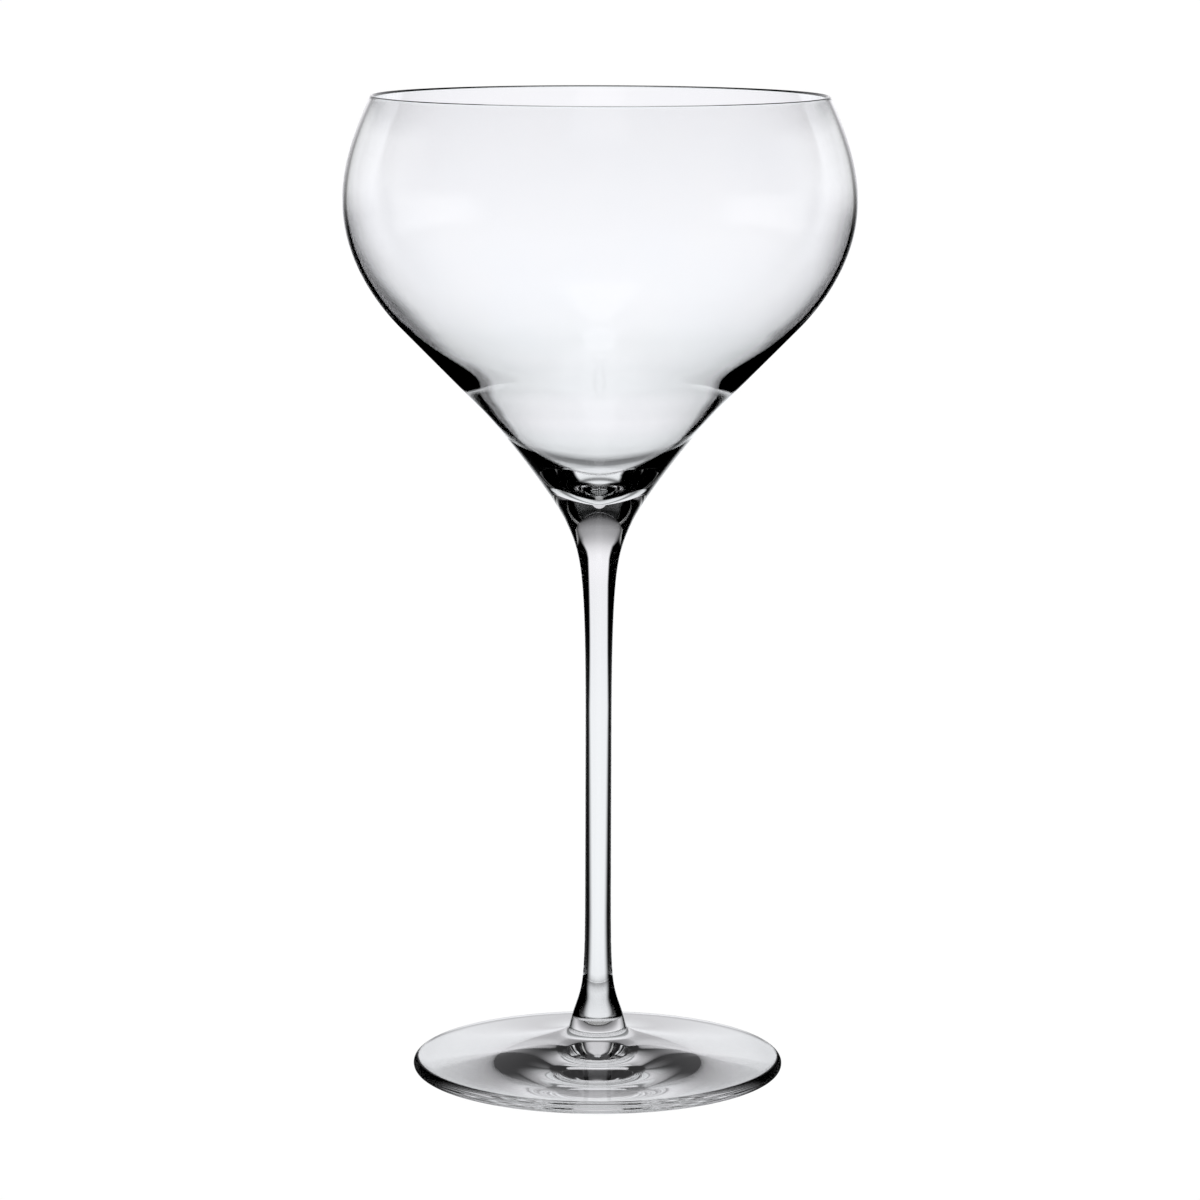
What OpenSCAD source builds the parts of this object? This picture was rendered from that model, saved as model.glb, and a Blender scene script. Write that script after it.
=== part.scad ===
// A tall stemmed cocktail glass with a rounded bowl that draws in at the rim.
// It is made of three gathers of clear glass, fused hot, one on top of the other:
// a blown bowl, a drawn stem and a spun foot. The two seams are flat discs.
// Z is the axis of the glass, and Z = 0 is the surface that it stands on.

/* [Bowl] */
// Height of the bowl, from its seam with the stem to the top of the rim
bowl_h = 86; // [83:0.5:110]
// Diameter of the rim, across the middle of its rounded lip
rim_d = 91.5; // [76:0.5:100]
// Thickness of the rounded lip
lip_t = 0.9; // [0.6:0.05:2]
// How far the wall leans inwards at the rim, in degrees
rim_lean = 24.5; // [5:0.5:40]
// Largest outside diameter of the bowl
belly_d = 103.5; // [94:0.5:120]
// Distance of the largest diameter below the rim
belly_drop = 21.2; // [14:0.1:28]
// Thickness of the wall at the largest diameter
belly_t = 0.85; // [0.6:0.05:2]
// Outside diameter where the shoulder runs into the straight cone
cone_d = 80.5; // [70:0.5:90]
// Distance of that circle below the rim
cone_drop = 46.4; // [40:0.1:54]
// How far the cone leans from the axis, in degrees
cone_lean = 44.5; // [38:0.5:50]
// Length of the straight part of the cone, along the wall
cone_len = 23.5; // [14:0.5:28]
// Distance below the rim where the wall starts to swell
swell_drop = 32.3; // [28:0.1:42]
// Distance below the rim where it has swelled
heel_drop = 57.7; // [54:0.1:64]
// Thickness of the swelled wall there
heel_t = 1.9; // [1:0.05:3]
// Distance below the rim where the rounded well starts
well_drop = 69; // [67:0.5:74]
// Thickness of the wall where the well starts
base_t = 1.4; // [1:0.05:2.5]
// Thickness of solid glass between the lowest point inside the bowl and the seam
floor_t = 5.7; // [4:0.1:8]

/* [Stem] */
// Length of the stem, from seam to seam
stem_len = 96.3; // [60:0.1:140]
// Diameter of the stem at its waist
stem_d = 5.34; // [4:0.02:6.5]
// Diameter of the seam between the bowl and the stem
bowl_seam_d = 13.55; // [9:0.05:18]
// How far the outline leans outwards at that seam, in degrees
bowl_seam_lean = 24.7; // [12:0.1:34]
// Distance from that seam down to the waist
flare_len = 44.5; // [36:0.5:55]
// Distance from the waist down to the seam between the stem and the foot
taper_len = 26.2; // [17:0.1:40]

/* [Foot] */
// Height of the foot, from the surface that it stands on to its seam with the stem
foot_h = 17.7; // [14.5:0.1:26]
// Diameter of the foot
foot_d = 76; // [60:0.5:96]
// Thickness of the foot's rounded edge
edge_t = 2.7; // [1.6:0.1:3.4]
// Slope of the foot's upper side next to the edge, in degrees
edge_slope = 1.6; // [1:0.1:10]
// Diameter of the seam between the stem and the foot
foot_seam_d = 6.68; // [6.6:0.02:9]
// How far the outline leans outwards at that seam, in degrees
foot_seam_lean = 9.8; // [4:0.1:16]
// Diameter of the neck where it meets the fillet
neck_d = 11.74; // [10:0.02:15]
// Height of that circle
neck_z = 8.5; // [7.5:0.1:11]
// How far the neck leans outwards there, in degrees
neck_lean = 12; // [8:0.5:30]
// Width of the fillet between the neck and the upper side
fillet_w = 1.2; // [0.8:0.1:3]
// Height of the fillet
fillet_h = 1; // [0.5:0.1:1.5]
// Slope of the upper side next to the fillet, in degrees
collar_slope = 20; // [6:0.5:25]
// Width of the flat ring that the foot stands on
ring_w = 2.5; // [1:0.1:5]
// Height of the hollow under the foot, on the axis
hollow_h = 2.2; // [1:0.1:4.5]
// Slope of the hollow next to the standing ring, in degrees
hollow_slope = 0.5; // [0.2:0.1:8]

/* [Hidden] */
$fn = 144;

// Number of straight steps in each curve, and in each rounded edge
curve_steps = 14;
edge_steps = 10;

// How far each curve holds its direction at its two ends
rim_pull = 7.3;
belly_pull_up = 7.6;
belly_pull_down = 9.5;
cone_top_pull = 9.4;
cone_bottom_pull = 6.6;
bowl_seam_pull_up = 5.3;
well_pull = 12;
well_floor_pull = 2.1;
bowl_seam_pull_down = 7.75;
waist_pull_up = 34.6;
waist_pull_down = 11.3;
foot_seam_pull_up = 4.35;
foot_seam_pull_down = 3.9;
neck_pull = 4.1;
fillet_pull = 0.5;
collar_pull = 5.5;
edge_pull = 10.6;
ring_pull = 10;
hollow_pull = 8;

// How late the wall swells on its way down
swell_power = 2.3;

// Heights of the two seams
stem_z = foot_h;
bowl_z = foot_h + stem_len;

// Direction of a wall on its way down, leaning towards the axis by an angle
function down(lean) = [-sin(lean), -cos(lean)];

// Direction out of a wall that leans towards the axis by an angle
function outward(lean) = [cos(lean), -sin(lean)];

// Direction towards the axis along a face that climbs by an angle
function inward(slope) = [-cos(slope), sin(slope)];

// Points of a smooth curve from a to b, without b: reach_a and reach_b say how
// the curve leaves a and comes in to b, by direction and by length
function curve(a, reach_a, b, reach_b) =
    [for (i = [0 : curve_steps - 1])
        let (t = i / curve_steps, s = 1 - t)
        s*s*s*a + 3*s*s*t*(a + reach_a) + 3*s*t*t*(b - reach_b) + t*t*t*b];

// Points of an arc about a centre, from one angle to another
function arc(centre, r, from, to) =
    [for (i = [0 : edge_steps])
        let (angle = from + (to - from) * i / edge_steps)
        centre + r * [cos(angle), sin(angle)]];

function reversed(points) = [for (i = [len(points) - 1 : -1 : 0]) points[i]];

// Smooth step from 0 to 1
function smooth(x) =
    let (c = min(1, max(0, x)))
    c * c * (3 - 2 * c);

// Corners of the bowl's outline, measured from its seam
lip_mid = [rim_d / 2, bowl_h - lip_t / 2];
rim = lip_mid + lip_t / 2 * outward(-rim_lean);
belly = [belly_d / 2, bowl_h - belly_drop];
cone_top = [cone_d / 2, bowl_h - cone_drop];
cone_third = cone_len / 3 * down(cone_lean);
cone_bottom = cone_top + 3 * cone_third;
bowl_seam = [bowl_seam_d / 2, 0];

// Outer face of the bowl, from the lip to its seam with the stem
outer_wall = concat(
    curve(rim, rim_pull * down(-rim_lean), belly, belly_pull_up * down(0)),
    curve(belly, belly_pull_down * down(0), cone_top, cone_top_pull * down(cone_lean)),
    curve(cone_top, cone_third, cone_bottom, cone_third),
    curve(cone_bottom, cone_bottom_pull * down(cone_lean),
          bowl_seam, bowl_seam_pull_up * down(bowl_seam_lean)),
    [bowl_seam]);

// Thickness of the wall at a distance below the rim
function wall_t(drop) =
    let (at_lip = smooth(1 - drop / belly_drop),
         swell = max(0, (drop - swell_drop) / (heel_drop - swell_drop)),
         at_heel = smooth(pow(swell, swell_power)),
         at_base = smooth((drop - heel_drop) / (well_drop - heel_drop)))
    belly_t + (lip_t - belly_t) * at_lip + (heel_t - belly_t) * at_heel
        + (base_t - heel_t) * at_base;

// Point of the inner face, square across the wall from point i of the outer face
function across(i) =
    let (along = outer_wall[i + 1] - outer_wall[i - 1],
         inwards = [along[1], -along[0]] / norm(along))
    outer_wall[i] + wall_t(bowl_h - outer_wall[i][1]) * inwards;

module bowl() {
    lip = arc(lip_mid, lip_t / 2, rim_lean, rim_lean + 180);
    last = max([for (i = [0 : len(outer_wall) - 1])
        if (bowl_h - outer_wall[i][1] <= well_drop) i]);
    inner_wall = [for (i = [1 : last]) across(i)];
    well_start = inner_wall[last - 1];
    slant = well_start - inner_wall[last - 2];
    inner_floor = [0, floor_t];
    inner_well = curve(well_start, well_pull * slant / norm(slant),
                       inner_floor, well_floor_pull * inward(0));
    color([0.93, 0.95, 0.96, 0.5])
    translate([0, 0, bowl_z])
    rotate_extrude()
    polygon(concat([[0, 0]],
                   reversed([for (i = [1 : len(outer_wall) - 1]) outer_wall[i]]),
                   lip,
                   [for (i = [0 : last - 2]) inner_wall[i]],
                   inner_well,
                   [inner_floor]));
}

module stem() {
    top = [bowl_seam_d / 2, stem_len];
    waist_top = [stem_d / 2, stem_len - flare_len];
    waist_bottom = [stem_d / 2, taper_len];
    bottom = [foot_seam_d / 2, 0];
    flare = curve(top, bowl_seam_pull_down * down(bowl_seam_lean),
                  waist_top, waist_pull_up * down(0));
    taper = curve(waist_bottom, waist_pull_down * down(0),
                  bottom, foot_seam_pull_up * down(-foot_seam_lean));
    color([0.90, 0.92, 0.94, 0.5])
    translate([0, 0, stem_z])
    rotate_extrude()
    polygon(concat([[0, stem_len]], flare, [waist_top], taper, [bottom, [0, 0]]));
}

module foot() {
    seam = [foot_seam_d / 2, foot_h];
    neck = [neck_d / 2, neck_z];
    collar = neck + [fillet_w, -fillet_h];
    edge_r = edge_t / 2;
    edge_mid = [foot_d / 2 - edge_r, edge_r];
    edge = arc(edge_mid, edge_r, -90, 90 - edge_slope);
    edge_top = edge[len(edge) - 1];
    ring_inner = [edge_mid[0] - ring_w, 0];
    hollow_top = [0, hollow_h];
    hollow = curve(ring_inner, ring_pull * inward(hollow_slope),
                   hollow_top, hollow_pull * inward(0));
    upper_side = curve(edge_top, edge_pull * inward(edge_slope),
                       collar, collar_pull * inward(collar_slope));
    fillet = curve(collar, fillet_pull * inward(collar_slope),
                   neck, -fillet_pull * down(-neck_lean));
    neck_side = curve(neck, -neck_pull * down(-neck_lean),
                      seam, -foot_seam_pull_down * down(-foot_seam_lean));
    color([0.88, 0.90, 0.92, 0.5])
    rotate_extrude()
    polygon(concat(reversed(hollow), [for (i = [0 : len(edge) - 2]) edge[i]],
                   upper_side, fillet, neck_side, [seam, [0, foot_h], hollow_top]));
}

bowl();
stem();
foot();
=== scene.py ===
import functools
import logging
import math
from abc import ABC, abstractmethod
from dataclasses import dataclass
from enum import Enum
from typing import ClassVar, NamedTuple

import bmesh
import bpy
import numpy as np
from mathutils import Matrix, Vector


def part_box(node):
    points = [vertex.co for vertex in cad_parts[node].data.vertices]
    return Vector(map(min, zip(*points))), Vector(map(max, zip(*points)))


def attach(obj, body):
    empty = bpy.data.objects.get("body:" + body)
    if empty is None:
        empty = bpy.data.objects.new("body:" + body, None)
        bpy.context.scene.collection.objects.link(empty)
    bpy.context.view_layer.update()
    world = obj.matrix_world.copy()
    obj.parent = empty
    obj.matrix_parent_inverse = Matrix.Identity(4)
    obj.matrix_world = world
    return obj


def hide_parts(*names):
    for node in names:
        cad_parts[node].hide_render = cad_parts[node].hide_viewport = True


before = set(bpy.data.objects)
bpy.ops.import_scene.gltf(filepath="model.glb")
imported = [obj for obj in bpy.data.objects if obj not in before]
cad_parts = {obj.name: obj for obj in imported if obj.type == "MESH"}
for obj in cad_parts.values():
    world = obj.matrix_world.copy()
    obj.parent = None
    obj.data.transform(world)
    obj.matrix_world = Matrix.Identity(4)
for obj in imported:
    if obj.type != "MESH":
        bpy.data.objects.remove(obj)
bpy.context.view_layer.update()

# A stemmed cocktail glass of clear glass: bowl, stem and foot are closed outlines spun about the
# axis, and a close dark tent with a window behind the glass gives the dark edges of clear glass.

MM = 0.001
log = logging.getLogger("glass")

# A node's socket, a colour, and the place and colour of one stop of a ramp
Socket = bpy.types.NodeSocket
Colour = tuple[float, float, float]
Stop = tuple[float, tuple[float, float, float, float]]


class Surface(Enum):
    """The two kinds of face that a piece of the glass has, in the order of its materials."""

    SKIN = 0
    SEAM = 1


def down(lean: float) -> np.ndarray:
    """Direction of a wall on its way down, leaning towards the axis by an angle in degrees."""
    return np.array([-math.sin(math.radians(lean)), -math.cos(math.radians(lean))])


def outward(lean: float) -> np.ndarray:
    """Direction out of a wall that leans towards the axis by an angle in degrees."""
    return np.array([math.cos(math.radians(lean)), -math.sin(math.radians(lean))])


def inward(slope: float) -> np.ndarray:
    """Direction towards the axis along a face that climbs by an angle in degrees."""
    return np.array([-math.cos(math.radians(slope)), math.sin(math.radians(slope))])


def curve(
    start: np.ndarray, leave: np.ndarray, end: np.ndarray, arrive: np.ndarray, steps: int
) -> np.ndarray:
    """Samples one smooth stretch of an outline, both ends included.

    Args:
        start: First point, as radius and height.
        leave: Direction and length with which the curve leaves the start.
        end: Last point.
        arrive: Direction and length with which the curve comes in to the end.
        steps: Number of straight steps.

    Returns:
        The points, one row each.
    """
    t = np.linspace(0.0, 1.0, steps + 1)[:, None]
    s = 1.0 - t
    near_start, near_end = start + leave, end - arrive
    return s**3 * start + 3 * s**2 * t * near_start + 3 * s * t**2 * near_end + t**3 * end


def arc(centre: np.ndarray, radius: float, first: float, last: float, steps: int) -> np.ndarray:
    """Samples an arc about a centre.

    Args:
        centre: Radius and height of the centre.
        radius: Radius of the arc.
        first: Angle of the first point, in degrees.
        last: Angle of the last point, in degrees.
        steps: Number of straight steps.

    Returns:
        The points, one row each.
    """
    angles = np.radians(np.linspace(first, last, steps + 1))[:, None]
    return centre + radius * np.hstack([np.cos(angles), np.sin(angles)])


def smooth(x: np.ndarray) -> np.ndarray:
    """Step from 0 to 1 as x goes from 0 to 1, level at both ends."""
    x = np.clip(x, 0.0, 1.0)
    return x * x * (3.0 - 2.0 * x)


def gentle(x: np.ndarray) -> np.ndarray:
    """Step from 0 to 1 as x goes from 0 to 1, level and without a bend at both ends."""
    x = np.clip(x, 0.0, 1.0)
    return x**3 * (10.0 - 15.0 * x + 6.0 * x * x)


@dataclass(frozen=True)
class ClearGlass:
    """Polished clear crystal with the faint waves, tint and haze of hand-worked glass.

    Sizes are in metres.

    Attributes:
        name: Name of the material.
        clear_tint: Colour of the clearest glass.
        cool_tint: Colour where the glass is faintly cool.
        ior: How strongly it bends light.
        wave_size: Length of the waves in its skin.
        wave_height: Height of those waves.
        wave_detail: How many finer waves ride on them.
        haze_size: Size of the patches of haze.
        haze_detail: How many finer patches they break into.
        haze_from: Level of the pattern where haze starts.
        haze: Roughness of the strongest haze.
    """

    name: str = "clear_glass"
    clear_tint: Colour = (1.0, 1.0, 1.0)
    cool_tint: Colour = (0.985, 0.993, 1.0)
    ior: float = 1.52
    wave_size: float = 0.016
    wave_height: float = 0.000002
    wave_detail: float = 1.0
    haze_size: float = 0.004
    haze_detail: float = 3.0
    haze_from: float = 0.5
    haze: float = 0.004

    def pattern(self, tree: bpy.types.NodeTree, size: float, detail: float) -> Socket:
        """Adds a cloudy pattern that stays with the piece.

        Args:
            tree: The material's node tree.
            size: Size of the clouds in metres.
            detail: How many finer layers they have.

        Returns:
            The socket with the pattern.
        """
        place = tree.nodes.new("ShaderNodeTexCoord")
        noise = tree.nodes.new("ShaderNodeTexNoise")
        noise.inputs["Scale"].default_value = 1.0 / size
        noise.inputs["Detail"].default_value = detail
        tree.links.new(place.outputs["Object"], noise.inputs["Vector"])
        return noise.outputs[0]

    def material(self) -> bpy.types.Material:
        """Builds the node material.

        Returns:
            The new material.
        """
        made = bpy.data.materials.new(self.name)
        made.use_nodes = True
        tree = made.node_tree
        shader = tree.nodes["Principled BSDF"]
        shader.inputs["Transmission Weight"].default_value = 1.0
        shader.inputs["IOR"].default_value = self.ior
        waves = self.pattern(tree, self.wave_size, self.wave_detail)
        bump = tree.nodes.new("ShaderNodeBump")
        bump.inputs["Distance"].default_value = self.wave_height
        tree.links.new(waves, bump.inputs["Height"])
        tree.links.new(bump.outputs[0], shader.inputs["Normal"])
        tints = tree.nodes.new("ShaderNodeValToRGB")
        tints.color_ramp.elements[0].color = (*self.cool_tint, 1.0)
        tints.color_ramp.elements[1].color = (*self.clear_tint, 1.0)
        tree.links.new(waves, tints.inputs[0])
        tree.links.new(tints.outputs[0], shader.inputs["Base Color"])
        patches = self.pattern(tree, self.haze_size, self.haze_detail)
        dust = tree.nodes.new("ShaderNodeMapRange")
        dust.inputs["From Min"].default_value = self.haze_from
        dust.inputs["To Max"].default_value = self.haze
        tree.links.new(patches, dust.inputs["Value"])
        tree.links.new(dust.outputs[0], shader.inputs["Roughness"])
        return made


@dataclass(frozen=True)
class FusedSeam:
    """The face inside the glass where two pieces are fused, which light crosses unbent.

    Attributes:
        name: Name of the material.
        tint: Share of the light that crosses.
    """

    name: str = "fused_seam"
    tint: Colour = (0.99, 0.99, 0.99)

    def material(self) -> bpy.types.Material:
        """Builds the node material.

        Returns:
            The new material.
        """
        made = bpy.data.materials.new(self.name)
        made.use_nodes = True
        nodes = made.node_tree.nodes
        nodes.clear()
        clear = nodes.new("ShaderNodeBsdfTransparent")
        clear.inputs["Color"].default_value = (*self.tint, 1.0)
        output = nodes.new("ShaderNodeOutputMaterial")
        made.node_tree.links.new(clear.outputs[0], output.inputs["Surface"])
        return made


@dataclass(frozen=True)
class PaleFloor:
    """Matt pale cover of the floor.

    Attributes:
        name: Name of the material.
        pale: How much light it throws back.
    """

    name: str = "pale_floor"
    pale: float = 0.9

    def material(self) -> bpy.types.Material:
        """Builds the node material.

        Returns:
            The new material.
        """
        made = bpy.data.materials.new(self.name)
        made.use_nodes = True
        shader = made.node_tree.nodes["Principled BSDF"]
        shader.inputs["Base Color"].default_value = (self.pale, self.pale, self.pale, 1.0)
        shader.inputs["Roughness"].default_value = 1.0
        shader.inputs["Specular IOR Level"].default_value = 0.0
        return made


@dataclass
class Lathe:
    """Spins closed outlines about the axis into meshes.

    Attributes:
        segments: Number of faces round the axis.
        crease: Angle in degrees from which an edge stays sharp.
    """

    segments: int = 256
    crease: float = 40.0

    def faces(self, rings: int) -> list[tuple[int, ...]]:
        """Lists the corners of all faces, for points that come ring by ring with both poles last.

        Args:
            rings: Number of rings.

        Returns:
            The fan at the first pole, the bands between rings and the fan at the last pole.
        """
        first, last = rings * self.segments, rings * self.segments + 1
        around = [(a, (a + 1) % self.segments) for a in range(self.segments)]
        faces: list[tuple[int, ...]] = [(first, b, a) for a, b in around]
        for ring in range(rings - 1):
            low, high = ring * self.segments, (ring + 1) * self.segments
            faces += [(low + a, low + b, high + b, high + a) for a, b in around]
        top = (rings - 1) * self.segments
        return faces + [(top + a, top + b, last) for a, b in around]

    def spin(self, name: str, outline: np.ndarray) -> bpy.types.Object:
        """Makes one closed piece.

        Args:
            name: Name of the piece.
            outline: Radius and height of each point in millimetres, from axis to axis.

        Returns:
            The new object, at the origin.
        """
        rings = outline[1:-1] * MM
        angles = np.linspace(0.0, 2.0 * math.pi, self.segments, endpoint=False)
        around = np.stack([np.cos(angles), np.sin(angles)], axis=1)
        shell = [np.hstack([r * around, np.full((self.segments, 1), z)]) for r, z in rings]
        poles = [[0.0, 0.0, z * MM] for z in (outline[0][1], outline[-1][1])]
        mesh = bpy.data.meshes.new(name)
        mesh.from_pydata(np.vstack([*shell, poles]).tolist(), [], self.faces(len(rings)))
        mesh.update()
        for face in mesh.polygons:
            face.use_smooth = True
        mesh.set_sharp_from_angle(angle=math.radians(self.crease))
        piece = bpy.data.objects.new(name, mesh)
        bpy.context.scene.collection.objects.link(piece)
        return piece


class GlassPiece(ABC):
    """One closed piece of the glass, spun on the lathe.

    Attributes:
        name: Name of the piece.
        node: Name of the CAD node that it stands for.
        seam_play: How far a face may lie from a seam's height and still be the seam, in metres.
    """

    name: ClassVar[str]
    node: ClassVar[str]
    seam_play: ClassVar[float] = 1e-7

    @abstractmethod
    def outline(self) -> np.ndarray:
        """Closed outline from axis to axis, as radius and height in millimetres."""

    @abstractmethod
    def seams(self) -> tuple[float, ...]:
        """Heights of the flat fused seams, in millimetres."""

    def build(self, lathe: Lathe) -> bpy.types.Object:
        """Makes the mesh and puts it in the frame in place of its CAD node.

        Args:
            lathe: The lathe that spins it.

        Returns:
            The new piece.
        """
        piece = lathe.spin(self.name, self.outline())
        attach(piece, "root")
        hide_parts(self.node)
        return piece

    def dress(
        self, piece: bpy.types.Object, materials: dict[Surface, bpy.types.Material]
    ) -> None:
        """Gives each face its material, and keeps the piece from shading the floor.

        Args:
            piece: The piece.
            materials: The material of each kind of face.
        """
        mesh = piece.data
        for surface in Surface:
            mesh.materials.append(materials[surface])
        for face in mesh.polygons:
            heights = [mesh.vertices[corner].co.z for corner in face.vertices]
            for seam in self.seams():
                if all(abs(height - seam * MM) < self.seam_play for height in heights):
                    face.material_index = Surface.SEAM.value
        piece.visible_diffuse = False
        piece.visible_shadow = False


@dataclass
class Bowl(GlassPiece):
    """The blown bowl, from its seam with the stem to the lip.

    Sizes are in millimetres and angles in degrees. A drop is measured down from the rim, and a
    height up from the table. A pull says how far a curve holds its direction at one end.

    Attributes:
        bottom: Height of the seam with the stem.
        top: Height of the rim.
        belly_r: Largest outside radius.
        seam_r: Radius of the seam with the stem.
        rim_r: Radius of the rim, at the middle of its rounded lip.
        rim_lean: How far the wall leans inwards at the rim.
        rim_pull: Pull of the outer face at the rim.
        lip_t: Thickness of the lip.
        belly_drop: Drop of the largest radius.
        belly_t: Thickness of the wall there.
        belly_pull_up: Pull of the outer face there, upwards.
        belly_pull_down: The same, downwards.
        cone_r: Outside radius where the shoulder runs into the straight cone.
        cone_drop: Drop of that circle.
        cone_lean: How far the cone leans from the axis.
        cone_len: Length of the straight cone, along the wall.
        cone_top_pull: Pull of the outer face above the cone.
        cone_bottom_pull: Pull of the outer face below the cone.
        seam_lean: How far the outline leans outwards at the seam.
        seam_pull: Pull of the outer face at the seam.
        swell_top: Height where the wall starts to swell on its way down.
        swell_bottom: Height where it has swelled.
        swell_power: How late it swells.
        heel_t: Thickness of the swelled wall.
        heel_z: Height where the rounded well starts.
        base_t: Thickness of the wall there.
        well_z: Height of the lowest point inside.
        well_pull: Pull of the well at its upper end.
        floor_pull: Pull of the well at its lowest point.
        steps: Number of straight steps in each curve.
        lip_steps: Number of straight steps round the lip.
    """

    name: ClassVar[str] = "glass_bowl"
    node: ClassVar[str] = "bowl"

    bottom: float
    top: float
    belly_r: float
    seam_r: float
    rim_r: float = 45.75
    rim_lean: float = 24.5
    rim_pull: float = 7.3
    lip_t: float = 0.75
    belly_drop: float = 21.2
    belly_t: float = 0.879
    belly_pull_up: float = 7.6
    belly_pull_down: float = 9.5
    cone_r: float = 40.25
    cone_drop: float = 46.4
    cone_lean: float = 44.5
    cone_len: float = 23.5
    cone_top_pull: float = 9.4
    cone_bottom_pull: float = 6.6
    seam_lean: float = 24.7
    seam_pull: float = 5.3
    swell_top: float = 162.5
    swell_bottom: float = 139.5
    swell_power: float = 2.0
    heel_t: float = 1.8
    heel_z: float = 131.0
    base_t: float = 1.65
    well_z: float = 119.7
    well_pull: float = 12.0
    floor_pull: float = 2.1
    steps: int = 40
    lip_steps: int = 16

    def seams(self) -> tuple[float, ...]:
        """Heights of the flat fused seams."""
        return (self.bottom,)

    def lip_middle(self) -> np.ndarray:
        """Middle of the rounded lip, as radius and height."""
        return np.array([self.rim_r, self.top - self.lip_t / 2])

    def outer_wall(self) -> np.ndarray:
        """Traces the outer face from the lip to the seam.

        Returns:
            The points, from the lip down.
        """
        rim = self.lip_middle() + self.lip_t / 2 * outward(-self.rim_lean)
        belly = np.array([self.belly_r, self.top - self.belly_drop])
        cone = np.array([self.cone_r, self.top - self.cone_drop])
        third = self.cone_len / 3 * down(self.cone_lean)
        cone_end = cone + 3 * third
        seam = np.array([self.seam_r, self.bottom])
        stretches = (
            (rim, self.rim_pull * down(-self.rim_lean),
             belly, self.belly_pull_up * down(0)),
            (belly, self.belly_pull_down * down(0),
             cone, self.cone_top_pull * down(self.cone_lean)),
            (cone, third, cone_end, third),
            (cone_end, self.cone_bottom_pull * down(self.cone_lean),
             seam, self.seam_pull * down(self.seam_lean)),
        )
        wall = [curve(*stretch, self.steps)[1:] for stretch in stretches]
        return np.vstack([rim, *wall])

    def thickness(self, z: np.ndarray) -> np.ndarray:
        """Thickness of the wall at each height.

        Args:
            z: Heights.

        Returns:
            Thicknesses, square to the wall.
        """
        belly_z = self.top - self.belly_drop
        lip = smooth((z - belly_z) / (self.top - self.lip_t / 2 - belly_z))
        swell = np.maximum((self.swell_top - z) / (self.swell_top - self.swell_bottom), 0.0)
        heel = gentle(swell ** self.swell_power)
        base = gentle((self.swell_bottom - z) / (self.swell_bottom - self.heel_z))
        upper = self.belly_t + (self.lip_t - self.belly_t) * lip
        return upper + (self.heel_t - self.belly_t) * heel + (self.base_t - self.heel_t) * base

    def inner_wall(self, outer: np.ndarray) -> np.ndarray:
        """Traces the inner face from the lip down to where the well starts.

        Args:
            outer: The outer face, from the lip down.

        Returns:
            The points, from the lip down.
        """
        along = np.gradient(outer, axis=0)
        along /= np.linalg.norm(along, axis=1)[:, None]
        inwards = np.stack([along[:, 1], -along[:, 0]], axis=1)
        inner = outer + self.thickness(outer[:, 1])[:, None] * inwards
        return inner[outer[:, 1] >= self.heel_z]

    def outline(self) -> np.ndarray:
        """Traces the closed outline from the seam's middle round to the well's lowest point.

        Returns:
            The points, as radius and height.
        """
        outer = self.outer_wall()
        inner = self.inner_wall(outer)
        lip = arc(
            self.lip_middle(), self.lip_t / 2, self.rim_lean, self.rim_lean + 180, self.lip_steps)
        slant = inner[-1] - inner[-2]
        along = slant / np.linalg.norm(slant)
        lowest = np.array([0.0, self.well_z])
        well = curve(
            inner[-1], self.well_pull * along, lowest, self.floor_pull * inward(0), self.steps)
        middle = np.array([0.0, self.bottom])
        return np.vstack([middle, outer[::-1], lip[1:-1], inner, well[1:]])


@dataclass
class Stem(GlassPiece):
    """The drawn stem, from the foot's neck to the bowl.

    Sizes are in millimetres and angles in degrees. A pull says how far a curve holds its
    direction at one end.

    Attributes:
        bottom: Height of the seam with the foot.
        top: Height of the seam with the bowl.
        bowl_seam_r: Radius of the seam with the bowl.
        bowl_seam_lean: How far the outline leans outwards there.
        bowl_seam_pull: Pull of the outline there.
        foot_seam_r: Radius of the seam with the foot.
        foot_seam_lean: How far the outline leans outwards there.
        foot_seam_pull: Pull of the outline there.
        waist_r: Radius of the waist.
        waist_pull_up: Pull of the outline at the waist, upwards.
        waist_pull_down: The same, downwards.
        flare_len: Distance from the bowl's seam down to the waist.
        taper_len: Distance from the waist down to the foot's seam.
        steps: Number of straight steps in each curve.
    """

    name: ClassVar[str] = "glass_stem"
    node: ClassVar[str] = "stem"

    bottom: float
    top: float
    bowl_seam_r: float
    bowl_seam_lean: float = 24.7
    bowl_seam_pull: float = 7.75
    foot_seam_r: float = 3.34
    foot_seam_lean: float = 9.8
    foot_seam_pull: float = 4.35
    waist_r: float = 2.67
    waist_pull_up: float = 34.6
    waist_pull_down: float = 11.3
    flare_len: float = 44.5
    taper_len: float = 26.2
    steps: int = 70

    def seams(self) -> tuple[float, ...]:
        """Heights of the flat fused seams."""
        return (self.bottom, self.top)

    def outline(self) -> np.ndarray:
        """Traces the closed outline from the lower seam's middle to the upper seam's.

        Returns:
            The points, as radius and height.
        """
        top = np.array([self.bowl_seam_r, self.top])
        waist_top = np.array([self.waist_r, self.top - self.flare_len])
        waist_bottom = np.array([self.waist_r, self.bottom + self.taper_len])
        bottom = np.array([self.foot_seam_r, self.bottom])
        flare = curve(
            top, self.bowl_seam_pull * down(self.bowl_seam_lean),
            waist_top, self.waist_pull_up * down(0), self.steps)
        taper = curve(
            waist_bottom, self.waist_pull_down * down(0),
            bottom, self.foot_seam_pull * down(-self.foot_seam_lean), self.steps)
        return np.vstack([[0.0, self.bottom], taper[::-1], flare[::-1], [0.0, self.top]])


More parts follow.
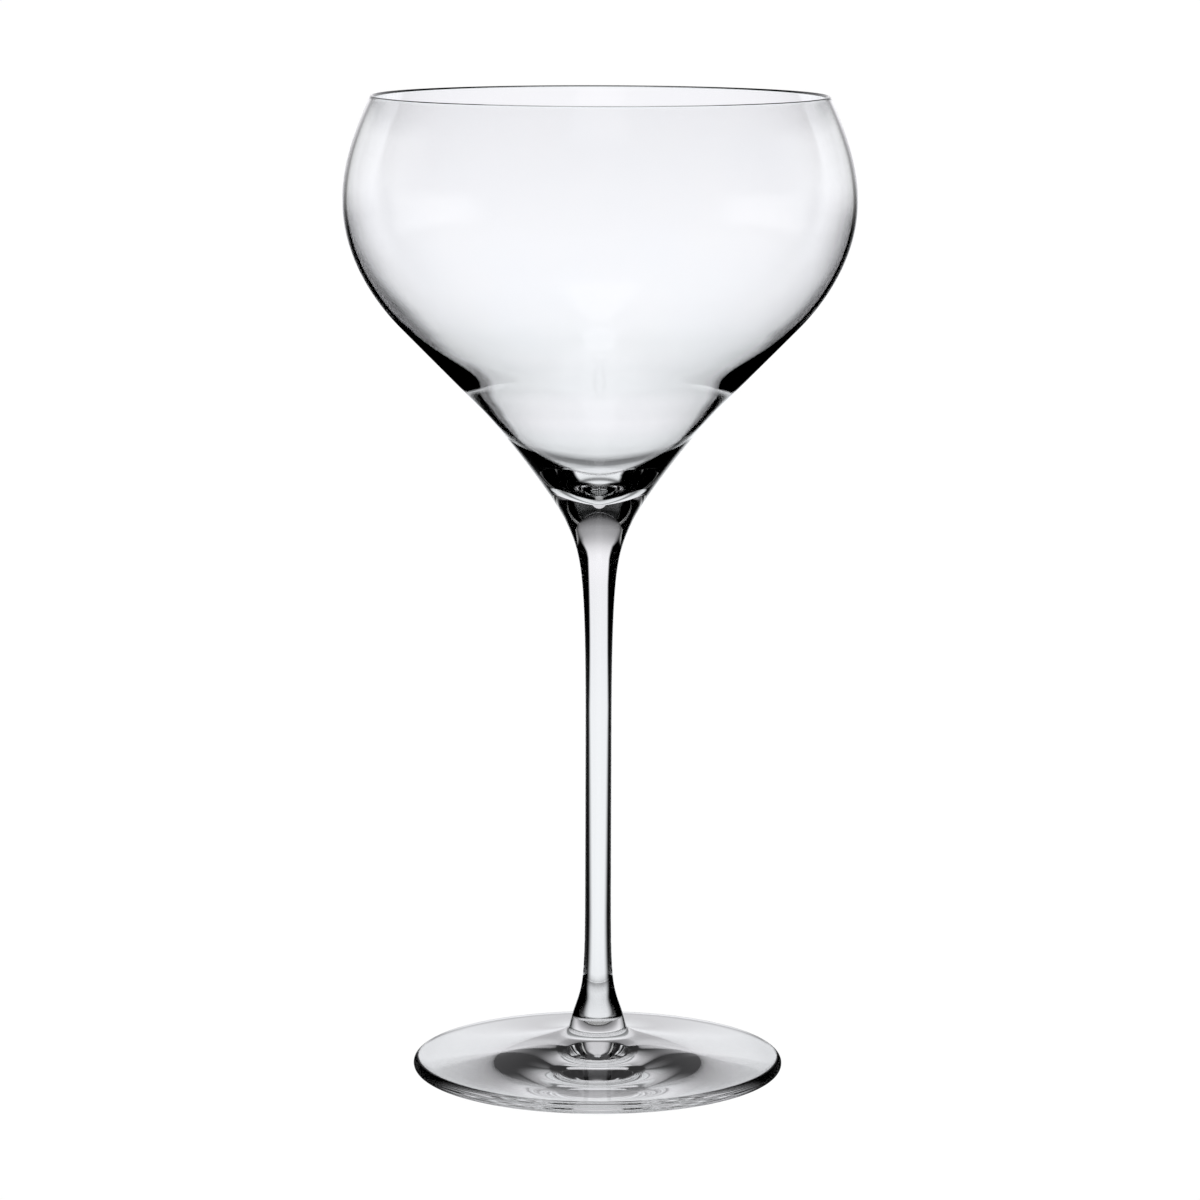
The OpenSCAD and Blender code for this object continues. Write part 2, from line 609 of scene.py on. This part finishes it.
@dataclass
class Foot(GlassPiece):
    """The spun foot with its neck, from the table to the stem.

    Sizes are in millimetres and angles in degrees. A pull says how far a curve holds its
    direction at one end.

    Attributes:
        top: Height of the seam with the stem.
        foot_r: Radius of the foot.
        seam_r: Radius of the seam with the stem.
        seam_lean: How far the outline leans outwards there.
        seam_pull: Pull of the outline there.
        neck_r: Radius of the neck where it meets the fillet.
        neck_z: Height of that circle.
        neck_lean: How far the neck leans outwards there.
        neck_pull: Pull of the neck there.
        fillet_w: Width of the fillet between the neck and the upper side.
        fillet_h: Height of the fillet.
        fillet_pull: Pull of the fillet at both ends.
        collar_slope: Slope of the upper side next to the fillet.
        collar_pull: Pull of the upper side there.
        edge_t: Thickness of the rounded edge.
        edge_slope: Slope of the upper side next to the edge.
        edge_pull: Pull of the upper side there.
        ring_w: Width of the flat ring that the foot stands on.
        ring_pull: Pull of the hollow next to the ring.
        hollow_h: Height of the hollow on the axis.
        hollow_slope: Slope of the hollow next to the ring.
        hollow_pull: Pull of the hollow on the axis.
        steps: Number of straight steps in each long curve.
        fillet_steps: Number of straight steps in the fillet.
        edge_steps: Number of straight steps round the edge.
    """

    name: ClassVar[str] = "glass_foot"
    node: ClassVar[str] = "foot"

    top: float
    foot_r: float
    seam_r: float = 3.34
    seam_lean: float = 9.8
    seam_pull: float = 3.9
    neck_r: float = 5.87
    neck_z: float = 8.63
    neck_lean: float = 10.64
    neck_pull: float = 4.1
    fillet_w: float = 2.28
    fillet_h: float = 1.33
    fillet_pull: float = 0.5
    collar_slope: float = 15.6
    collar_pull: float = 10.42
    edge_t: float = 2.53
    edge_slope: float = 3.49
    edge_pull: float = 3.93
    ring_w: float = 1.1
    ring_pull: float = 13.38
    hollow_h: float = 2.06
    hollow_slope: float = 2.0
    hollow_pull: float = 9.1
    steps: int = 50
    fillet_steps: int = 16
    edge_steps: int = 24

    def seams(self) -> tuple[float, ...]:
        """Heights of the flat fused seams."""
        return (self.top,)

    def outline(self) -> np.ndarray:
        """Traces the closed outline from the hollow's highest point round to the seam's middle.

        Returns:
            The points, as radius and height.
        """
        seam = np.array([self.seam_r, self.top])
        neck = np.array([self.neck_r, self.neck_z])
        collar = neck + np.array([self.fillet_w, -self.fillet_h])
        edge_r = self.edge_t / 2
        edge_mid = np.array([self.foot_r - edge_r, edge_r])
        edge = arc(edge_mid, edge_r, -90, 90 - self.edge_slope, self.edge_steps)
        ring = np.array([edge_mid[0] - self.ring_w, 0.0])
        hollow_top = np.array([0.0, self.hollow_h])
        hollow = curve(
            ring, self.ring_pull * inward(self.hollow_slope),
            hollow_top, self.hollow_pull * inward(0), self.steps)
        upper = curve(
            edge[-1], self.edge_pull * inward(self.edge_slope),
            collar, self.collar_pull * inward(self.collar_slope), self.steps)
        fillet = curve(
            collar, self.fillet_pull * inward(self.collar_slope),
            neck, -self.fillet_pull * down(-self.neck_lean), self.fillet_steps)
        side = curve(
            neck, -self.neck_pull * down(-self.neck_lean),
            seam, -self.seam_pull * down(-self.seam_lean), self.steps)
        middle = np.array([0.0, self.top])
        return np.vstack([hollow[::-1], edge, upper[1:], fillet[1:], side[1:], middle])


@dataclass(frozen=True)
class Step:
    """A soft step in the light.

    Attributes:
        at: Where it is half way.
        fade: How wide it is.
    """

    at: float
    fade: float


class LightNodes:
    """A glowing material whose light is laid out by formula, in the light's own axes."""

    def __init__(self, name: str) -> None:
        """Starts the material without nodes.

        Args:
            name: Name of the material.
        """
        self.material = bpy.data.materials.new(name)
        self.material.use_nodes = True
        self.material.cycles.emission_sampling = "NONE"
        self.tree = self.material.node_tree
        self.tree.nodes.clear()

    def new(self, kind: str, *values: Socket | float) -> bpy.types.Node:
        """Adds one node.

        Args:
            kind: Blender's name for the node, without its first words.
            values: What goes into its first inputs, as sockets or as plain values.

        Returns:
            The node.
        """
        node = self.tree.nodes.new("ShaderNode" + kind)
        for place, value in zip(node.inputs, values):
            if isinstance(value, Socket):
                self.tree.links.new(value, place)
            else:
                place.default_value = value
        return node

    def math(self, operation: str, *values: Socket | float) -> Socket:
        """Adds one sum.

        Args:
            operation: Name of the node's operation.
            values: Sockets or plain numbers that it works on.

        Returns:
            The socket with the result.
        """
        node = self.new("Math", *values)
        node.operation = operation
        return node.outputs[0]

    def rise(self, value: Socket, step: Step) -> Socket:
        """Adds a soft step from 0 to 1.

        Args:
            value: What steps.
            step: The step.

        Returns:
            The socket with the result.
        """
        node = self.new("MapRange", value)
        node.interpolation_type = "SMOOTHSTEP"
        node.inputs["From Min"].default_value = step.at - step.fade / 2
        node.inputs["From Max"].default_value = step.at + step.fade / 2
        return node.outputs[0]

    def fall(self, value: Socket, step: Step) -> Socket:
        """Adds a soft step from 1 to 0."""
        return self.math("SUBTRACT", 1.0, self.rise(value, step))

    def product(self, *values: Socket | float) -> Socket:
        """Multiplies any number of values."""
        return functools.reduce(lambda a, b: self.math("MULTIPLY", a, b), values)

    def ramp(self, value: Socket, stops: list[Stop]) -> bpy.types.Node:
        """Adds a ramp of colours.

        Args:
            value: Where the ramp is read, from 0 to 1.
            stops: Place and colour of each stop, in order.

        Returns:
            The ramp's node.
        """
        node = self.new("ValToRGB", value)
        elements = node.color_ramp.elements
        while len(elements) < len(stops):
            elements.new(1.0)
        for element, (place, colour) in zip(elements, stops):
            element.position = place
            element.color = colour
        return node

    def surface(self, shader: bpy.types.Node) -> bpy.types.Material:
        """Makes a shader the material's surface, and hands the material over."""
        self.new("OutputMaterial", shader.outputs[0])
        return self.material


def put_up(
    name: str, form: bmesh.types.BMesh, material: bpy.types.Material, camera: bpy.types.Object,
    middle: tuple[float, float, float]
) -> bpy.types.Object:
    """Puts a light up round the glass, with its -Y side to the camera. Only the glass sees it.

    Args:
        name: Name of the light.
        form: Its form about its own origin.
        material: Its material.
        camera: The camera.
        middle: Where its origin goes.

    Returns:
        The light.
    """
    mesh = bpy.data.meshes.new(name)
    form.to_mesh(mesh)
    form.free()
    mesh.materials.append(material)
    light = bpy.data.objects.new(name, mesh)
    light.location = middle
    bpy.context.scene.collection.objects.link(light)
    follow = light.constraints.new("TRACK_TO")
    follow.target = camera
    follow.track_axis = "TRACK_NEGATIVE_Y"
    follow.up_axis = "UP_Z"
    light.visible_camera = False
    light.visible_diffuse = False
    light.visible_shadow = False
    return light


@dataclass
class FarPanel:
    """The soft light all round, brightest about level with the camera's line.

    Attributes:
        radius: Radius of the dome in metres.
        detail: How finely the dome is divided.
        full_glow: Brightness that the white of the ramp stands for.
        high_tint: Colour of the light above the camera's line.
        low_tint: Colour of the light below it.
        levels: Angles above the camera's line in degrees, each with its brightness.
    """

    radius: float = 8.0
    detail: int = 5
    full_glow: float = 1.315
    high_tint: Colour = (0.976, 0.968, 1.0)
    low_tint: Colour = (0.957, 0.978, 1.0)
    levels: tuple[tuple[float, float], ...] = (
        (-90, 0.12), (-80, 0.16), (-70, 0.5), (-52, 1.05), (-36, 1.1), (-30, 0.85), (-26, 0.4),
        (-20, 0.3), (-15, 0.85), (-12, 1.12), (-8, 1.15), (-4, 1.19),
        (8, 1.18), (12, 1.14), (16, 1.02), (20, 0.84), (25, 0.59), (30, 0.42), (36, 0.34),
        (45, 0.22), (50, 0.08), (57, 0.0), (63, 0.05), (70, 0.75), (80, 0.75), (90, 0.65))

    def stop(self, angle: float, level: float) -> Stop:
        """Turns an angle and its brightness into a stop of the ramp.

        Args:
            angle: The angle, in degrees.
            level: The brightness.

        Returns:
            The stop's place and colour.
        """
        tint = self.high_tint if angle > 0 else self.low_tint
        red, green, blue = (part * level / self.full_glow for part in tint)
        return angle / 180.0 + 0.5, (red, green, blue, 1.0)

    def material(self) -> bpy.types.Material:
        """Lays out the light by its angle above or below the camera's line.

        Returns:
            The new material.
        """
        nodes = LightNodes("far_light")
        unit = nodes.new("VectorMath", nodes.new("TexCoord").outputs["Object"])
        unit.operation = "NORMALIZE"
        split = nodes.new("SeparateXYZ", unit.outputs[0])
        climb = nodes.math("ARCSINE", split.outputs["Z"])
        share = nodes.math("MULTIPLY_ADD", climb, 1.0 / math.pi, 0.5)
        ramp = nodes.ramp(share, [self.stop(*pair) for pair in self.levels])
        glow = nodes.new("Emission", ramp.outputs["Color"], self.full_glow)
        return nodes.surface(glow)

    def build(
        self, camera: bpy.types.Object, middle: tuple[float, float, float]
    ) -> bpy.types.Object:
        """Puts the panel up as a dome.

        Args:
            camera: The camera.
            middle: The middle of the dome.

        Returns:
            The dome.
        """
        form = bmesh.new()
        bmesh.ops.create_icosphere(form, subdivisions=self.detail, radius=self.radius)
        return put_up("far_panel", form, self.material(), camera, middle)


class WindowRow(NamedTuple):
    """The tent's window at one height.

    Attributes:
        height: The height.
        left: Turn of the window's left side.
        right: Turn of its right side.
        fade: How wide its soft sides are.
        veil: Share of the light behind that it lets through.
    """

    height: float
    left: float
    right: float
    fade: float
    veil: float


@dataclass
class LightTent:
    """A close dark drum with a window behind the glass, and pale cloth at both sides of the bowl.

    Sizes are in millimetres. Heights are measured from the middle of the drum, and turns are in
    degrees from the middle of the window.

    Attributes:
        radius: Radius of the drum.
        length: Height of the drum.
        segments: Number of faces round it.
        span: Largest height in the window's rows.
        most_turn: Turn that the full value of the window's ramp stands for.
        window: The window's rows, from the lowest up.
        cloth_from: Turn where the cloth starts.
        cloth_to: Turn where it ends.
        cloth_low: Height where it starts.
        cloth_high: Height where it ends.
        cloth_glow: Its brightness.
        front_from: Turn where the pale front below the bowl starts.
        front_high: Height where it ends.
        front_glow: Its brightness.
    """

    radius: float = 118.0
    length: float = 1800.0
    segments: int = 256
    span: float = 200.0
    most_turn: float = 60.0
    window: tuple[WindowRow, ...] = (
        WindowRow(-200, 23.6, 22.3, 18.5, 0.83),
        WindowRow(-78, 23.6, 22.3, 18.5, 0.83),
        WindowRow(-48, 29.4, 27.3, 18, 0.83),
        WindowRow(-30, 33, 31, 15, 0.83),
        WindowRow(-15, 28.5, 28, 9, 0.82),
        WindowRow(12, 22, 25, 6, 0.82),
        WindowRow(35, 20.5, 22, 5, 0.9),
        WindowRow(46, 22.3, 23.5, 6, 0.95),
        WindowRow(57, 25, 28, 7, 0.99),
        WindowRow(66, 30.5, 32, 10, 1.0),
        WindowRow(78, 36, 34, 18, 0.985),
        WindowRow(95, 42, 42, 20, 0.93),
        WindowRow(110, 43, 43, 20, 0.885),
        WindowRow(200, 44, 44, 20, 0.86))
    cloth_from: Step = Step(50.0, 16.0)
    cloth_to: Step = Step(112.0, 24.0)
    cloth_low: Step = Step(82.0, 24.0)
    cloth_high: Step = Step(125.0, 16.0)
    cloth_glow: float = 0.6
    front_from: Step = Step(160.0, 12.0)
    front_high: Step = Step(-40.0, 40.0)
    front_glow: float = 0.34

    def stop(self, row: WindowRow) -> Stop:
        """Turns a row of the window into a stop of its ramp.

        Args:
            row: The row.

        Returns:
            The stop's place, and its colour: left side, right side, fade and veil.
        """
        left, right, fade = (turn / self.most_turn for turn in row[1:4])
        return 0.5 * row.height / self.span + 0.5, (left, right, fade, row.veil)

    def opening(self, nodes: LightNodes, turn: Socket, height: Socket) -> tuple[Socket, Socket]:
        """Lays out the window.

        Args:
            nodes: The tent's nodes.
            turn: Turn of the lit point.
            height: Height of the lit point.

        Returns:
            How open the tent is there, and what the window lets through.
        """
        place = nodes.math("MULTIPLY_ADD", height, 0.5 / self.span, 0.5)
        ramp = nodes.ramp(place, [self.stop(row) for row in self.window])
        left, right, fade = nodes.new("SeparateColor", ramp.outputs["Color"]).outputs
        share = nodes.math("DIVIDE", turn, self.most_turn)
        sides = (nodes.math("ADD", left, share), nodes.math("SUBTRACT", right, share))
        opened = [nodes.rise(nodes.math("DIVIDE", side, fade), Step(0.0, 1.0)) for side in sides]
        return nodes.product(*opened), ramp.outputs["Alpha"]

    def cover(self, nodes: LightNodes, turn: Socket, height: Socket) -> Socket:
        """Lays out the pale cloth and the pale front.

        Args:
            nodes: The tent's nodes.
            turn: Turn of the lit point.
            height: Height of the lit point.

        Returns:
            The brightness there.
        """
        aside = nodes.math("ABSOLUTE", turn)
        cloth = nodes.product(
            nodes.rise(aside, self.cloth_from), nodes.fall(aside, self.cloth_to),
            nodes.rise(height, self.cloth_low), nodes.fall(height, self.cloth_high),
            self.cloth_glow)
        front = nodes.product(
            nodes.rise(aside, self.front_from), nodes.fall(height, self.front_high),
            self.front_glow)
        return nodes.math("ADD", cloth, front)

    def material(self) -> bpy.types.Material:
        """Lays out the window and the cloth.

        Returns:
            The new material.
        """
        nodes = LightNodes("tent_cloth")
        split = nodes.new("SeparateXYZ", nodes.new("TexCoord").outputs["Object"])
        angle = nodes.math("ARCTAN2", split.outputs["X"], split.outputs["Y"])
        turn = nodes.math("MULTIPLY", angle, math.degrees(1.0))
        height = nodes.math("DIVIDE", split.outputs["Z"], MM)
        opened, veil = self.opening(nodes, turn, height)
        glow = nodes.new("Emission")
        nodes.tree.links.new(self.cover(nodes, turn, height), glow.inputs["Strength"])
        clear = nodes.new("BsdfTransparent", veil)
        return nodes.surface(nodes.new("MixShader", opened, glow.outputs[0], clear.outputs[0]))

    def build(
        self, camera: bpy.types.Object, middle: tuple[float, float, float]
    ) -> bpy.types.Object:
        """Puts the tent up so that its window stands opposite the camera.

        Args:
            camera: The camera.
            middle: The middle of the tent.

        Returns:
            The tent.
        """
        form = bmesh.new()
        bmesh.ops.create_cone(
            form, segments=self.segments, radius1=self.radius * MM, radius2=self.radius * MM,
            depth=self.length * MM)
        return put_up("light_tent", form, self.material(), camera, middle)


@dataclass
class Studio:
    """The floor, the light and the camera. Sizes are in metres and angles in degrees.

    Attributes:
        camera_back: Distance of the camera in front of the glass.
        camera_side: Distance of the camera to the right.
        camera_height: Height of the camera.
        camera_pitch: How far the camera looks down.
        camera_roll: How far it is rolled.
        lens: Focal length, in millimetres.
        sensor: Width of the picture on the sensor, in millimetres.
        floor_half: Half the width of the floor.
        sky_glow: Brightness of the surround.
        middle: Middle of the light round the glass.
        bounces: How often light may pass a surface.
        mirror_bounces: How often it may be mirrored.
    """

    camera_back: float = 0.9166
    camera_side: float = -0.0002
    camera_height: float = 0.2417
    camera_pitch: float = 8.927
    camera_roll: float = -0.17
    lens: float = 136.7
    sensor: float = 36.0
    floor_half: float = 60.0
    sky_glow: float = 1.12
    middle: tuple[float, float, float] = (0.0, 0.0, 0.1)
    bounces: int = 32
    mirror_bounces: int = 16

    def camera(self) -> bpy.types.Object:
        """Sets up the camera.

        Returns:
            The camera.
        """
        data = bpy.data.cameras.new("camera")
        data.lens = self.lens
        data.sensor_width = self.sensor
        made = bpy.data.objects.new("camera", data)
        made.location = (self.camera_side, -self.camera_back, self.camera_height)
        tilt, roll = math.radians(90 - self.camera_pitch), math.radians(self.camera_roll)
        made.rotation_euler = (tilt, roll, 0.0)
        bpy.context.scene.collection.objects.link(made)
        bpy.context.scene.camera = made
        return made

    def floor(self) -> bpy.types.Object:
        """Lays the pale floor, which the glass doesn't mirror.

        Returns:
            The floor.
        """
        half = self.floor_half
        corners = [(-half, -half, 0.0), (half, -half, 0.0), (half, half, 0.0), (-half, half, 0.0)]
        mesh = bpy.data.meshes.new("floor")
        mesh.from_pydata(corners, [], [(0, 1, 2, 3)])
        mesh.materials.append(PaleFloor().material())
        made = bpy.data.objects.new("floor", mesh)
        bpy.context.scene.collection.objects.link(made)
        made.visible_transmission = False
        made.visible_glossy = False
        return made

    def surround(self) -> None:
        """Lights the floor evenly from all sides, unseen by the glass."""
        world = bpy.data.worlds.new("studio")
        world.use_nodes = True
        bpy.context.scene.world = world
        backdrop = world.node_tree.nodes["Background"]
        backdrop.inputs["Color"].default_value = (1.0, 1.0, 1.0, 1.0)
        backdrop.inputs["Strength"].default_value = self.sky_glow
        world.cycles_visibility.glossy = False
        world.cycles_visibility.transmission = False

    def build(self) -> None:
        """Sets up the camera, the floor, the light and the colour handling."""
        camera = self.camera()
        self.floor()
        FarPanel().build(camera, self.middle)
        LightTent().build(camera, self.middle)
        self.surround()
        scene = bpy.context.scene
        scene.view_settings.view_transform = "Standard"
        scene.cycles.max_bounces = self.bounces
        scene.cycles.transmission_bounces = self.bounces
        scene.cycles.transparent_max_bounces = self.bounces
        scene.cycles.glossy_bounces = self.mirror_bounces


def main() -> None:
    """Builds the glass piece by piece, and then the studio around it."""
    logging.basicConfig(level=logging.INFO, format="%(message)s")
    materials = {Surface.SKIN: ClearGlass().material(), Surface.SEAM: FusedSeam().material()}
    lathe = Lathe()
    bowl_low, bowl_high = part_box("bowl")
    stem_low, stem_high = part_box("stem")
    _, foot_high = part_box("foot")
    seam_r = stem_high.x / MM
    parts = (
        Foot(top=foot_high.z / MM, foot_r=foot_high.x / MM),
        Stem(bottom=stem_low.z / MM, top=stem_high.z / MM, bowl_seam_r=seam_r),
        Bowl(
            bottom=bowl_low.z / MM, top=bowl_high.z / MM,
            belly_r=bowl_high.x / MM, seam_r=seam_r),
    )
    for part in parts:
        piece = part.build(lathe)
        part.dress(piece, materials)
        faces = len(piece.data.polygons)
        log.info("%s stands for node %s, with %d faces", piece.name, part.node, faces)
    Studio().build()


if __name__ == "__main__":
    main()
